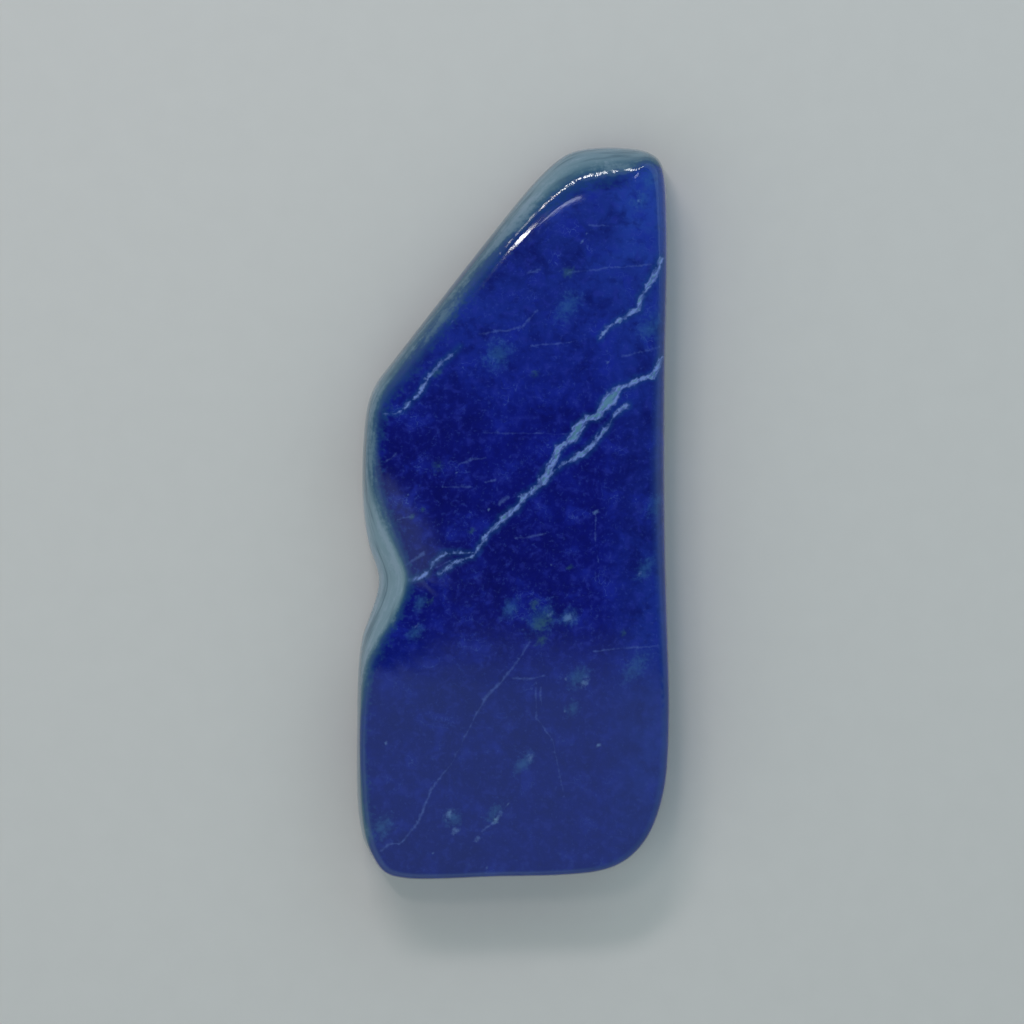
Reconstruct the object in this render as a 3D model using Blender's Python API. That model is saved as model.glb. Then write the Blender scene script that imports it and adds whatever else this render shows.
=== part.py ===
"""A polished freeform slab of lapis lazuli, lying flat on its back.

The stone is one solid. Its plan outline is a smooth closed curve through stations placed by eye, and each
station also says how far the ground side wall leans in there and how widely the upper arris is eased.
+Y runs to the pointed end and +Z is up. The origin is on the resting plane, under the middle of the stone.
"""

import bmesh
import bpy
import numpy as np

MM = 0.001

# Driving dimensions of the stone.
LENGTH = 120.0 * MM
WIDTH = 51.3 * MM
THICKNESS = 13.0 * MM

# The lapped top is not quite flat: it falls away towards the sides and the ends, and rolls off
# ever more steeply over the last few millimetres before the arris.
FALL_TO_SIDES = 0.25 * MM
FALL_TO_ENDS = 0.35 * MM
ROLL_OFF_DEPTH = 0.35 * MM
ROLL_OFF_REACH = 4.5 * MM
SMOOTHINGS = 4

# The side wall: the stone is widest up to the girdle, and the lower arris turns in under it. Above the
# girdle the wall curves in, and the line of its upper part meets the upright of the foot at the belly,
# this share of the way up from the girdle.
GIRDLE_HEIGHT = 3.2 * MM
FOOT_HEIGHT = 1.4 * MM
UNDER_REACH = 1.3 * MM
BELLY_SHARE = 0.5

# How finely the long sides, the two ends and the bands of the wall are divided. A bend of the outline
# gets as many extra points as a straight stretch of TURN_LENGTH for each radian that it turns.
ALONG_STEPS = 56
ACROSS_STEPS = 22
TURN_LENGTH = 12.0 * MM
UPPER_ARRIS_STEPS = 5
WALL_STEPS = 4
LOWER_ARRIS_STEPS = 3

# The wall leans in at right angles to the line between two points of the outline this far to either side.
NORMAL_REACH = 3.0 * MM

# Stations of the outline, clockwise from the tip as seen from above. x is a share of WIDTH from the
# middle line and y a share of LENGTH from mid-length. lean is how far the wall runs in from its foot
# to its top, and ease how wide the rounded upper arris is, both in millimetres.
#    x       y      lean  ease
TIP_AND_RIGHT_EDGE = (
    (0.300, 0.500, 3.8, 3.0),
    (0.397, 0.497, 2.8, 2.6),
    (0.445, 0.490, 1.6, 2.3),
    (0.475, 0.476, 1.0, 2.1),
    (0.488, 0.450, 0.7, 2.0),
    (0.493, 0.400, 0.6, 1.9),
    (0.493, 0.320, 0.5, 1.7),
    (0.487, 0.200, 0.5, 1.9),
    (0.485, 0.060, 0.5, 2.4),
    (0.488, -0.050, 0.5, 2.1),
    (0.494, -0.140, 0.5, 1.7),
    (0.500, -0.240, 0.4, 1.5),
    (0.498, -0.315, 0.4, 1.4),
)
TOE_AND_FOOT_EDGE = (
    (0.488, -0.367, 0.4, 1.3),
    (0.463, -0.412, 0.5, 1.1),
    (0.424, -0.447, 0.6, 1.0),
    (0.363, -0.474, 0.7, 1.0),
    (0.278, -0.489, 0.7, 0.9),
    (0.144, -0.495, 0.7, 0.9),
    (-0.060, -0.497, 0.7, 0.9),
    (-0.234, -0.500, 0.7, 0.9),
)
HEEL_AND_HIP = (
    (-0.345, -0.499, 0.7, 1.0),
    (-0.412, -0.490, 0.7, 1.1),
    (-0.455, -0.466, 0.8, 1.2),
    (-0.484, -0.436, 1.1, 1.3),
    (-0.498, -0.385, 1.1, 1.2),
    (-0.499, -0.300, 0.9, 1.1),
    (-0.495, -0.218, 1.4, 1.6),
    (-0.483, -0.172, 2.8, 1.6),
)
NOTCH = (
    (-0.460, -0.142, 3.7, 1.3),
    (-0.438, -0.114, 4.4, 1.1),
    (-0.430, -0.093, 4.9, 1.1),
    (-0.438, -0.073, 4.6, 1.2),
    (-0.463, -0.041, 4.2, 1.7),
)
SHOULDER_AND_SLOPE = (
    (-0.479, 0.006, 2.7, 2.1),
    (-0.482, 0.055, 1.5, 2.0),
    (-0.477, 0.105, 1.3, 2.1),
    (-0.464, 0.148, 1.5, 2.3),
    (-0.436, 0.178, 2.0, 2.2),
    (-0.380, 0.210, 2.2, 2.3),
    (-0.253, 0.280, 2.2, 2.4),
    (-0.074, 0.378, 2.5, 2.3),
    (0.045, 0.441, 3.3, 2.5),
    (0.130, 0.478, 4.1, 2.9),
    (0.200, 0.495, 4.3, 3.1),
)
STATIONS = (
    TIP_AND_RIGHT_EDGE + TOE_AND_FOOT_EDGE + HEEL_AND_HIP + NOTCH + SHOULDER_AND_SLOPE
)

# The stations at which the outline turns a corner, where its two long sides and two ends meet.
SIDE_STARTS = (TIP_AND_RIGHT_EDGE[2], TOE_AND_FOOT_EDGE[2], HEEL_AND_HIP[2], SHOULDER_AND_SLOPE[-2])
SIDE_STEPS = (ALONG_STEPS, ACROSS_STEPS, ALONG_STEPS, ACROSS_STEPS)

ULTRAMARINE = (0.006, 0.011, 0.150, 1.0)
POLISHED_ROUGHNESS = 0.12


def clear_scene():
    for obj in list(bpy.data.objects):
        bpy.data.objects.remove(obj, do_unlink=True)


def smooth_loop(rows, fine_steps):
    """A closed Catmull-Rom curve through the rows, with fine_steps points from each row to the next."""
    before, after, beyond = (np.roll(rows, shift, axis=0) for shift in (1, -1, -2))
    share = (np.arange(fine_steps) / fine_steps)[:, None, None]
    curve = 0.5 * (
        2 * rows
        + share * (after - before)
        + share**2 * (2 * before - 5 * rows + 4 * after - beyond)
        + share**3 * (3 * rows - before - 3 * after + beyond)
    )
    return curve.transpose(1, 0, 2).reshape(-1, rows.shape[1])


def spaced_along(run, steps):
    """steps rows along a run of the loop, without its last row, closer together where it bends."""
    ways = np.diff(run[:, :2], axis=0)
    headings = np.unwrap(np.arctan2(ways[:, 1], ways[:, 0]))
    turns = np.abs(np.diff(headings, prepend=headings[0]))
    travelled = np.cumsum(np.linalg.norm(ways, axis=1) + TURN_LENGTH * turns)
    travelled = np.concatenate(([0.0], travelled))
    wanted = np.linspace(0.0, travelled[-1], steps, endpoint=False)
    return np.stack([np.interp(wanted, travelled, column) for column in run.T], axis=1)


def fit_to_size(loop):
    """Centres the loop on the origin and brings it to exactly WIDTH by LENGTH."""
    low, high = loop[:, :2].min(axis=0), loop[:, :2].max(axis=0)
    loop[:, :2] = (loop[:, :2] - (low + high) / 2) * (WIDTH, LENGTH) / (high - low)


def inward_normals(points):
    """For a closed clockwise loop in plan, unit normals into the stone, which turn gently at corners."""
    laps = np.concatenate((points, points, points))
    travelled = np.concatenate(([0.0], np.cumsum(np.linalg.norm(np.diff(laps, axis=0), axis=1))))
    middle_lap = travelled[len(points) : 2 * len(points)]
    ahead, behind = (
        np.stack([np.interp(middle_lap + reach, travelled, column) for column in laps.T], axis=1)
        for reach in (NORMAL_REACH, -NORMAL_REACH)
    )
    chord = ahead - behind
    normal = np.stack((chord[:, 1], -chord[:, 0]), axis=1)
    return normal / np.linalg.norm(normal, axis=1, keepdims=True)


def outline():
    """Rows of x, y, lean, ease and inward normal around the stone, from the first of SIDE_STARTS."""
    fine_steps = 40
    loop = smooth_loop(np.array(STATIONS) * (WIDTH, LENGTH, MM, MM), fine_steps)
    fit_to_size(loop)
    marks = [STATIONS.index(station) * fine_steps for station in SIDE_STARTS]
    marks.append(marks[0] + len(loop))
    loop = np.hstack((loop, inward_normals(loop[:, :2])))
    twice = np.concatenate((loop, loop))
    runs = zip(marks[:-1], marks[1:], SIDE_STEPS)
    return np.concatenate([spaced_along(twice[start : end + 1], steps) for start, end, steps in runs])


def lapped_height(x, y):
    """Height of the lapped top over a point in plan, before it rolls off at its border."""
    across = 2 * x / WIDTH
    along = 2 * y / LENGTH
    return THICKNESS - FALL_TO_SIDES * across**2 - FALL_TO_ENDS * along**2


def bend(start, corner, end, steps):
    """Points of a quadratic curve that leaves start and arrives at end along the lines to the corner."""
    share = (np.arange(steps + 1) / steps)[:, None]
    start, corner, end = np.array(start), np.array(corner), np.array(end)
    return (1 - share) ** 2 * start + 2 * share * (1 - share) * corner + share**2 * end


def wall_section(lean, ease, top):
    """Rows of inset and height down the wall at one point of the outline, from top border to back border."""
    shoulder = np.array((lean, top - ease * ROLL_OFF_DEPTH / ROLL_OFF_REACH))
    belly = np.array((0.0, GIRDLE_HEIGHT + BELLY_SHARE * (shoulder[1] - GIRDLE_HEIGHT)))
    way_down = (belly - shoulder) / np.linalg.norm(belly - shoulder)
    upper_arris = bend((lean + ease, top), shoulder, shoulder + way_down * ease, UPPER_ARRIS_STEPS)
    wall = bend(upper_arris[-1], belly, (0.0, GIRDLE_HEIGHT), WALL_STEPS)
    lower_arris = bend((0.0, FOOT_HEIGHT), (0.0, 0.0), (UNDER_REACH, 0.0), LOWER_ARRIS_STEPS)
    return np.concatenate((upper_arris, wall[1:], lower_arris))


def wall_rings():
    """Closed rings of points down the wall, from the border of the top to the border of the back."""
    columns = []
    for x, y, lean, ease, way_x, way_y in outline():
        reach = lean + ease
        top = lapped_height(x + way_x * reach, y + way_y * reach) - ROLL_OFF_DEPTH
        inset, height = wall_section(lean, ease, top).T
        columns.append(np.stack((x + way_x * inset, y + way_y * inset, height), axis=1))
    return np.array(columns).transpose(1, 0, 2)


def distance_to_border(point, border):
    """Shortest distance in plan from a point to the closed border."""
    start = border[:, :2]
    way = np.roll(start, -1, axis=0) - start
    from_start = np.array(point[:2]) - start
    share = np.clip((from_start * way).sum(axis=1) / (way**2).sum(axis=1), 0, 1)
    return np.linalg.norm(from_start - share[:, None] * way, axis=1).min()


def add_ring(bm, points):
    verts = [bm.verts.new(point) for point in points]
    edges = [bm.edges.new(pair) for pair in zip(verts, verts[1:] + verts[:1])]
    return verts, edges


def fill_top(bm, edges, border):
    """Fills the top's border with a grid between its two long sides, and raises the inside of it."""
    long_sides = edges[:ALONG_STEPS] + edges[ALONG_STEPS + ACROSS_STEPS : -ACROSS_STEPS]
    bmesh.ops.grid_fill(bm, edges=long_sides)
    inner = [vert for vert in bm.verts if vert.link_faces and not vert.is_boundary]
    for vert in inner:
        roll_off = ROLL_OFF_DEPTH * np.exp(-distance_to_border(vert.co, border) / ROLL_OFF_REACH)
        vert.co.z = lapped_height(vert.co.x, vert.co.y) - roll_off
    for _ in range(SMOOTHINGS):
        bmesh.ops.smooth_vert(bm, verts=inner, factor=0.5, use_axis_z=True)


def build_stone():
    rings = wall_rings()
    bm = bmesh.new()
    upper, top_edges = add_ring(bm, rings[0])
    fill_top(bm, top_edges, rings[0])
    for points in rings[1:]:
        lower, _ = add_ring(bm, points)
        for a, b, c, d in zip(upper, upper[1:] + upper[:1], lower[1:] + lower[:1], lower):
            bm.faces.new((a, b, c, d))
        upper = lower
    bm.faces.new(upper)
    bmesh.ops.recalc_face_normals(bm, faces=bm.faces)

    mesh = bpy.data.meshes.new("lapis_stone")
    bm.to_mesh(mesh)
    bm.free()
    mesh.shade_smooth()
    return bpy.data.objects.new("lapis_stone", mesh)


def lapis_material():
    material = bpy.data.materials.new("polished lapis lazuli")
    material.use_nodes = True
    shader = material.node_tree.nodes["Principled BSDF"]
    shader.inputs["Base Color"].default_value = ULTRAMARINE
    shader.inputs["Roughness"].default_value = POLISHED_ROUGHNESS
    shader.inputs["Metallic"].default_value = 0.0
    return material


def main():
    clear_scene()
    collection = bpy.data.collections.new("lapis lazuli")
    bpy.context.scene.collection.children.link(collection)
    stone = build_stone()
    stone.data.materials.append(lapis_material())
    collection.objects.link(stone)


main()
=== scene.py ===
"""A polished freeform slab of lapis lazuli lying flat on a pale surface, seen from straight above."""

import math

import bmesh
import bpy
import numpy as np
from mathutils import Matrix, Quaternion, Vector


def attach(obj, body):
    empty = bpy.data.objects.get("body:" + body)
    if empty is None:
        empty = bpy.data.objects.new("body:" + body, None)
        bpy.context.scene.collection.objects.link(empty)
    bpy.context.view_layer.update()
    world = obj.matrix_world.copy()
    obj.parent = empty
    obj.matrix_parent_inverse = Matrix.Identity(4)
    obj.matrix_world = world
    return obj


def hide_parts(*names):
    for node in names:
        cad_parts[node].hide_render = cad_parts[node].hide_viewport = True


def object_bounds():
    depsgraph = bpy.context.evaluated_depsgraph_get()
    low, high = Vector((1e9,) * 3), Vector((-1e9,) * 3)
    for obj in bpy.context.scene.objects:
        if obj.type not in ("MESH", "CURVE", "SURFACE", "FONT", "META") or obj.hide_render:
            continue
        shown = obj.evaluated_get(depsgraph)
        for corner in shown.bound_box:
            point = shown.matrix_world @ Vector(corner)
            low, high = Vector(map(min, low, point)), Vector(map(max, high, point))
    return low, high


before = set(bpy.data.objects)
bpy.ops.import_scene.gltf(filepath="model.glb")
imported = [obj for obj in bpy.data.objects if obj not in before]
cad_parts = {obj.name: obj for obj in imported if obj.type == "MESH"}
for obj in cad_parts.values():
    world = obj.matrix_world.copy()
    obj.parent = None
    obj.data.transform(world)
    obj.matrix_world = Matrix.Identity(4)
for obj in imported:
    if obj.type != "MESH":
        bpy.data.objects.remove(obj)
cad_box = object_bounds()
scene = bpy.context.scene
scene.view_settings.view_transform = "Standard"


# Camera
# A long lens looks straight down on the polished face, with the pointed end at the top of the picture.
# The picture is square, and the stone fills 730 of its 1024 pixels from end to end. It lies a pixel right
# of the picture's middle and a pixel below it.
MM = 0.001
STONE_LENGTH = (cad_box[1] - cad_box[0]).y
PICTURE_PIXELS = 1024
STONE_PIXELS = 730
PICTURE_WIDTH = STONE_LENGTH * PICTURE_PIXELS / STONE_PIXELS
CAMERA_HEIGHT = 700 * MM
NEAREST_SEEN = 10 * MM
SENSOR_WIDTH = 36.0
GIRDLE_HEIGHT = 3.2 * MM
PIXEL = PICTURE_WIDTH / PICTURE_PIXELS

camera_data = bpy.data.cameras.new("copy_stand_camera")
camera_data.sensor_width = SENSOR_WIDTH
camera_data.lens = SENSOR_WIDTH * (CAMERA_HEIGHT - GIRDLE_HEIGHT) / PICTURE_WIDTH
camera_data.clip_start = NEAREST_SEEN
camera = bpy.data.objects.new("copy_stand_camera", camera_data)
camera.location = (-PIXEL, PIXEL, CAMERA_HEIGHT)
scene.collection.objects.link(camera)
scene.camera = camera


# The stone
# One piece of lapis lazuli, sawn from the rough, ground to a freeform outline on a wheel and polished all
# over. The top is lapped nearly flat and rolls off into a hand-eased arris; the back is lapped flat.
LENGTH = 120.0 * MM
WIDTH = 51.3 * MM
THICKNESS = 13.0 * MM

# The lapped top falls away towards the sides and the ends, and rolls off over the last few millimetres
# before the arris. The mesh inside its border is evened out after that.
FALL_TO_SIDES = 0.25 * MM
FALL_TO_ENDS = 0.35 * MM
ROLL_OFF_DEPTH = 0.35 * MM
ROLL_OFF_REACH = 4.5 * MM
SMOOTHINGS = 24
SMOOTHING_STRENGTH = 0.5

# The stone is widest from the girdle down to the foot's height, where the lower arris starts to turn in
# under it. Above the girdle the wall curves in: the line down its upper part meets the upright of the
# girdle at the belly, this share of the way up to the shoulder.
FOOT_HEIGHT = 1.4 * MM
UNDER_REACH = 1.3 * MM
BELLY_SHARE = 0.5

# Steps of the mesh along the two long sides, across the two ends, and down the arrises and the wall. Where
# steps are spaced along the outline, a radian of turning counts as the turn length. Normals are taken
# between points this reach ahead and behind, on a curve with these loop steps from station to station.
ALONG_STEPS = 224
ACROSS_STEPS = 88
UPPER_ARRIS_STEPS = 16
WALL_STEPS = 12
LOWER_ARRIS_STEPS = 7
TURN_LENGTH = 12.0 * MM
NORMAL_REACH = 3.0 * MM
LOOP_STEPS = 120

# Stations of the outline, clockwise from the tip as seen from above: x as a share of the width from the
# middle line, y as a share of the length from mid-length, then how far the wall leans in from foot to
# top and how wide the upper arris is eased, in millimetres.
TIP_AND_RIGHT_EDGE = (
    (0.300, 0.500, 3.8, 3.0),
    (0.397, 0.497, 2.8, 2.6),
    (0.445, 0.490, 1.6, 2.3),
    (0.475, 0.476, 1.0, 2.1),
    (0.488, 0.450, 0.7, 2.0),
    (0.493, 0.400, 0.6, 1.9),
    (0.493, 0.320, 0.5, 1.7),
    (0.487, 0.200, 0.5, 1.9),
    (0.485, 0.060, 0.5, 2.4),
    (0.488, -0.050, 0.5, 2.1),
    (0.494, -0.140, 0.5, 1.7),
    (0.500, -0.240, 0.4, 1.5),
    (0.498, -0.315, 0.4, 1.4),
)
TOE_AND_FOOT_EDGE = (
    (0.488, -0.367, 0.4, 1.3),
    (0.463, -0.412, 0.5, 1.1),
    (0.424, -0.447, 0.6, 1.0),
    (0.363, -0.474, 0.7, 1.0),
    (0.278, -0.489, 0.7, 0.9),
    (0.144, -0.495, 0.7, 0.9),
    (-0.060, -0.497, 0.7, 0.9),
    (-0.234, -0.500, 0.7, 0.9),
)
HEEL_AND_HIP = (
    (-0.345, -0.499, 0.7, 1.0),
    (-0.412, -0.490, 0.7, 1.1),
    (-0.455, -0.466, 0.8, 1.2),
    (-0.484, -0.436, 1.1, 1.3),
    (-0.498, -0.385, 1.1, 1.2),
    (-0.499, -0.300, 0.9, 1.1),
    (-0.495, -0.218, 1.4, 1.6),
    (-0.483, -0.172, 2.8, 1.6),
)
NOTCH = (
    (-0.460, -0.142, 3.7, 1.3),
    (-0.438, -0.114, 4.4, 1.1),
    (-0.430, -0.093, 4.9, 1.1),
    (-0.438, -0.073, 4.6, 1.2),
    (-0.463, -0.041, 4.2, 1.7),
)
SHOULDER_AND_SLOPE = (
    (-0.479, 0.006, 2.7, 2.1),
    (-0.482, 0.055, 1.5, 2.0),
    (-0.477, 0.105, 1.3, 2.1),
    (-0.464, 0.148, 1.5, 2.3),
    (-0.436, 0.178, 2.0, 2.2),
    (-0.380, 0.210, 2.2, 2.3),
    (-0.253, 0.280, 2.2, 2.4),
    (-0.074, 0.378, 2.5, 2.3),
    (0.045, 0.441, 3.3, 2.5),
    (0.130, 0.478, 4.1, 2.9),
    (0.200, 0.495, 4.3, 3.1),
)
STATIONS = TIP_AND_RIGHT_EDGE + TOE_AND_FOOT_EDGE + HEEL_AND_HIP + NOTCH + SHOULDER_AND_SLOPE

# The loop is cut at the stone's four corners into two long sides and two ends.
SIDE_STARTS = (TIP_AND_RIGHT_EDGE[2], TOE_AND_FOOT_EDGE[2], HEEL_AND_HIP[2], SHOULDER_AND_SLOPE[-2])
SIDE_STEPS = (ALONG_STEPS, ACROSS_STEPS, ALONG_STEPS, ACROSS_STEPS)


def smooth_loop(rows, fine_steps):
    """A closed Catmull-Rom curve through the rows, with fine_steps points from each row to the next."""
    before, after, beyond = (np.roll(rows, shift, axis=0) for shift in (1, -1, -2))
    share = (np.arange(fine_steps) / fine_steps)[:, None, None]
    curve = 0.5 * (
        2 * rows
        + share * (after - before)
        + share**2 * (2 * before - 5 * rows + 4 * after - beyond)
        + share**3 * (3 * rows - before - 3 * after + beyond)
    )
    return curve.transpose(1, 0, 2).reshape(-1, rows.shape[1])


def spaced_along(run, steps):
    """steps rows along a run of the loop, without its last row, closer together where it bends."""
    ways = np.diff(run[:, :2], axis=0)
    headings = np.unwrap(np.arctan2(ways[:, 1], ways[:, 0]))
    turns = np.abs(np.diff(headings, prepend=headings[0]))
    travelled = np.cumsum(np.linalg.norm(ways, axis=1) + TURN_LENGTH * turns)
    travelled = np.concatenate(([0.0], travelled))
    wanted = np.linspace(0.0, travelled[-1], steps, endpoint=False)
    return np.stack([np.interp(wanted, travelled, column) for column in run.T], axis=1)


def inward_normals(points):
    """For a closed clockwise loop in plan, unit normals into the stone, which turn gently at corners."""
    laps = np.concatenate((points, points, points))
    travelled = np.concatenate(([0.0], np.cumsum(np.linalg.norm(np.diff(laps, axis=0), axis=1))))
    middle_lap = travelled[len(points) : 2 * len(points)]
    ahead, behind = (
        np.stack([np.interp(middle_lap + reach, travelled, column) for column in laps.T], axis=1)
        for reach in (NORMAL_REACH, -NORMAL_REACH)
    )
    chord = ahead - behind
    normal = np.stack((chord[:, 1], -chord[:, 0]), axis=1)
    return normal / np.linalg.norm(normal, axis=1, keepdims=True)


def outline():
    """Rows of x, y, lean, ease and inward normal around the stone, from the first of SIDE_STARTS."""
    loop = smooth_loop(np.array(STATIONS) * (WIDTH, LENGTH, MM, MM), LOOP_STEPS)
    low, high = loop[:, :2].min(axis=0), loop[:, :2].max(axis=0)
    loop[:, :2] = (loop[:, :2] - (low + high) / 2) * (WIDTH, LENGTH) / (high - low)
    marks = [STATIONS.index(station) * LOOP_STEPS for station in SIDE_STARTS]
    marks.append(marks[0] + len(loop))
    loop = np.hstack((loop, inward_normals(loop[:, :2])))
    twice = np.concatenate((loop, loop))
    runs = zip(marks[:-1], marks[1:], SIDE_STEPS)
    return np.concatenate([spaced_along(twice[start : end + 1], steps) for start, end, steps in runs])


def lapped_height(x, y):
    """Height of the lapped top over a point in plan, before it rolls off at its border."""
    across = 2 * x / WIDTH
    along = 2 * y / LENGTH
    return THICKNESS - FALL_TO_SIDES * across**2 - FALL_TO_ENDS * along**2


def bend(start, corner, end, steps):
    """Points of a quadratic curve that leaves start and arrives at end along the lines to the corner."""
    share = (np.arange(steps + 1) / steps)[:, None]
    start, corner, end = np.array(start), np.array(corner), np.array(end)
    return (1 - share) ** 2 * start + 2 * share * (1 - share) * corner + share**2 * end


def wall_section(lean, ease, top):
    """Rows of inset and height down the wall at one point of the outline, from top border to back border."""
    shoulder = np.array((lean, top - ease * ROLL_OFF_DEPTH / ROLL_OFF_REACH))
    belly = np.array((0.0, GIRDLE_HEIGHT + BELLY_SHARE * (shoulder[1] - GIRDLE_HEIGHT)))
    way_down = (belly - shoulder) / np.linalg.norm(belly - shoulder)
    upper_arris = bend((lean + ease, top), shoulder, shoulder + way_down * ease, UPPER_ARRIS_STEPS)
    wall = bend(upper_arris[-1], belly, (0.0, GIRDLE_HEIGHT), WALL_STEPS)
    lower_arris = bend((0.0, FOOT_HEIGHT), (0.0, 0.0), (UNDER_REACH, 0.0), LOWER_ARRIS_STEPS)
    return np.concatenate((upper_arris, wall[1:], lower_arris))


def wall_rings():
    """Closed rings of points down the wall, from the border of the top to the border of the back."""
    columns = []
    for x, y, lean, ease, way_x, way_y in outline():
        reach = lean + ease
        top = lapped_height(x + way_x * reach, y + way_y * reach) - ROLL_OFF_DEPTH
        inset, height = wall_section(lean, ease, top).T
        columns.append(np.stack((x + way_x * inset, y + way_y * inset, height), axis=1))
    return np.array(columns).transpose(1, 0, 2)


def distance_to_border(point, border):
    """Shortest distance in plan from a point to the closed border."""
    start = border[:, :2]
    way = np.roll(start, -1, axis=0) - start
    from_start = np.array(point[:2]) - start
    share = np.clip((from_start * way).sum(axis=1) / (way**2).sum(axis=1), 0, 1)
    return np.linalg.norm(from_start - share[:, None] * way, axis=1).min()


def add_ring(bm, points):
    """Adds a closed ring of points to the mesh, and returns its verts and edges."""
    verts = [bm.verts.new(point) for point in points]
    edges = [bm.edges.new(pair) for pair in zip(verts, verts[1:] + verts[:1])]
    return verts, edges


def fill_border(bm, edges):
    """Fills a border with a grid between its two long sides, and returns the verts inside it."""
    long_sides = edges[:ALONG_STEPS] + edges[ALONG_STEPS + ACROSS_STEPS : -ACROSS_STEPS]
    faces = bmesh.ops.grid_fill(bm, edges=long_sides)["faces"]
    rim = {vert for edge in edges for vert in edge.verts}
    return [vert for vert in {vert for face in faces for vert in face.verts} if vert not in rim]


def crown_top(bm, inner, border):
    """Lifts the verts inside the top's border to the lapped top, and evens them out."""
    for vert in inner:
        roll_off = ROLL_OFF_DEPTH * math.exp(-distance_to_border(vert.co, border) / ROLL_OFF_REACH)
        vert.co.z = lapped_height(vert.co.x, vert.co.y) - roll_off
    for _ in range(SMOOTHINGS):
        bmesh.ops.smooth_vert(bm, verts=inner, factor=SMOOTHING_STRENGTH, use_axis_z=True)


# Where the wall leans it was ground less, and keeps the rough stone's grey-green rind: none of it up to
# the first lean and all from the second, and the more the wall leans the paler. It is darker and narrower
# on the long slope between the shoulder and the tip, which the places along the stone mark out.
RIND_LEANS = (0.4 * MM, 1.2 * MM)
PALE_RIND_LEANS = (0.4 * MM, 3.0 * MM)
SLOPE_PLACES = (18.0 * MM, 27.0 * MM, 42.0 * MM, 54.0 * MM)
SLOPE_RIND_SHARES = (1.0, 0.80, 0.80, 1.0)
SLOPE_PALENESS_SHARES = (1.0, 0.12, 0.12, 0.85)

# The rind thins out up the arris to its share at the border of the top, and ends just inside that border.
# Its pale part starts this share of the way down the arris.
BORDER_RIND = 0.35
RIND_FADE = 1.6 * MM
PALE_RIND_START = 0.4


def eased(value, low, high):
    """0 up to low, 1 from high on, and a smooth rise between them."""
    share = np.clip((value - low) / (high - low), 0.0, 1.0)
    return share * share * (3 - 2 * share)


def nearest_row(point, border):
    """The row of the border that lies nearest to a point in plan, and its distance."""
    distances = np.hypot(border[:, 0] - point.x, border[:, 1] - point.y)
    return distances.argmin(), distances.min()


def stone_mesh():
    """The slab's mesh, with how much rind, pale rind and eased arris there is at each vert."""
    rings = wall_rings()
    rows = outline()
    rind_by_row = eased(rows[:, 2], *RIND_LEANS)
    paleness_by_row = eased(rows[:, 2], *PALE_RIND_LEANS)
    paleness_by_row *= np.interp(rows[:, 1], SLOPE_PLACES, SLOPE_PALENESS_SHARES)
    rind_by_row *= np.interp(rows[:, 1], SLOPE_PLACES, SLOPE_RIND_SHARES)
    bm = bmesh.new()
    rind_layer, pale_rind_layer, arris_layer = (
        bm.verts.layers.float.new(name) for name in ("rind", "pale_rind", "arris")
    )
    upper, top_edges = add_ring(bm, rings[0])
    inner = fill_border(bm, top_edges)
    crown_top(bm, inner, rings[0])
    for vert in inner + upper:
        row, distance = nearest_row(vert.co, rings[0])
        vert[rind_layer] = BORDER_RIND * rind_by_row[row] * max(1 - distance / RIND_FADE, 0.0)
    for ring, points in enumerate(rings[1:-1], start=1):
        lower, _ = add_ring(bm, points)
        down_arris = min(ring / UPPER_ARRIS_STEPS, 1.0)
        for vert, rind, paleness in zip(lower, rind_by_row, paleness_by_row):
            vert[rind_layer] = rind * (BORDER_RIND + (1 - BORDER_RIND) * down_arris)
            vert[pale_rind_layer] = paleness * eased(down_arris, PALE_RIND_START, 1.0)
            vert[arris_layer] = math.sin(math.pi * down_arris)
        for corners in zip(upper, upper[1:] + upper[:1], lower[1:] + lower[:1], lower):
            bm.faces.new(corners)
        upper = lower
    lower, back_edges = add_ring(bm, rings[-1])
    for corners in zip(upper, upper[1:] + upper[:1], lower[1:] + lower[:1], lower):
        bm.faces.new(corners)
    fill_border(bm, back_edges)
    bmesh.ops.recalc_face_normals(bm, faces=bm.faces)
    low, high = cad_box
    for vert in bm.verts:
        vert.co = [min(max(place, least), most) for place, least, most in zip(vert.co, low, high)]
    mesh = bpy.data.meshes.new("lapis_slab")
    bm.to_mesh(mesh)
    bm.free()
    mesh.shade_smooth()
    return mesh


stone = bpy.data.objects.new("lapis_slab", stone_mesh())
scene.collection.objects.link(stone)

# Veins of calcite, as they cross the polished face: x and y in millimetres from the middle of the
# stone, then the vein's width there. Each is a sheet that runs on down through the stone.
MAIN_VEIN = (
    (24.6, 25.0, 0.8),
    (22.7, 21.9, 1.1),
    (20.4, 21.7, 1.0),
    (19.0, 20.7, 0.9),
    (17.2, 20.2, 1.3),
    (16.0, 18.4, 2.2),
    (14.9, 17.4, 2.0),
    (13.7, 15.7, 1.2),
    (12.0, 15.3, 1.1),
    (10.4, 13.6, 1.9),
    (9.8, 12.2, 1.6),
    (8.6, 11.4, 0.9),
    (7.4, 10.5, 1.2),
    (6.8, 8.6, 1.0),
    (5.9, 6.9, 1.4),
    (4.7, 4.9, 1.4),
    (3.4, 3.8, 0.9),
    (1.8, 2.8, 1.0),
    (0.6, 0.8, 1.0),
    (-1.1, -0.2, 1.1),
    (-2.6, -2.0, 0.8),
    (-4.0, -3.2, 0.6),
    (-5.4, -5.5, 0.6),
    (-6.6, -7.1, 0.6),
    (-8.0, -7.4, 0.6),
    (-9.6, -8.1, 0.6),
    (-10.5, -8.9, 0.5),
    (-11.8, -9.9, 0.3),
)
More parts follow.
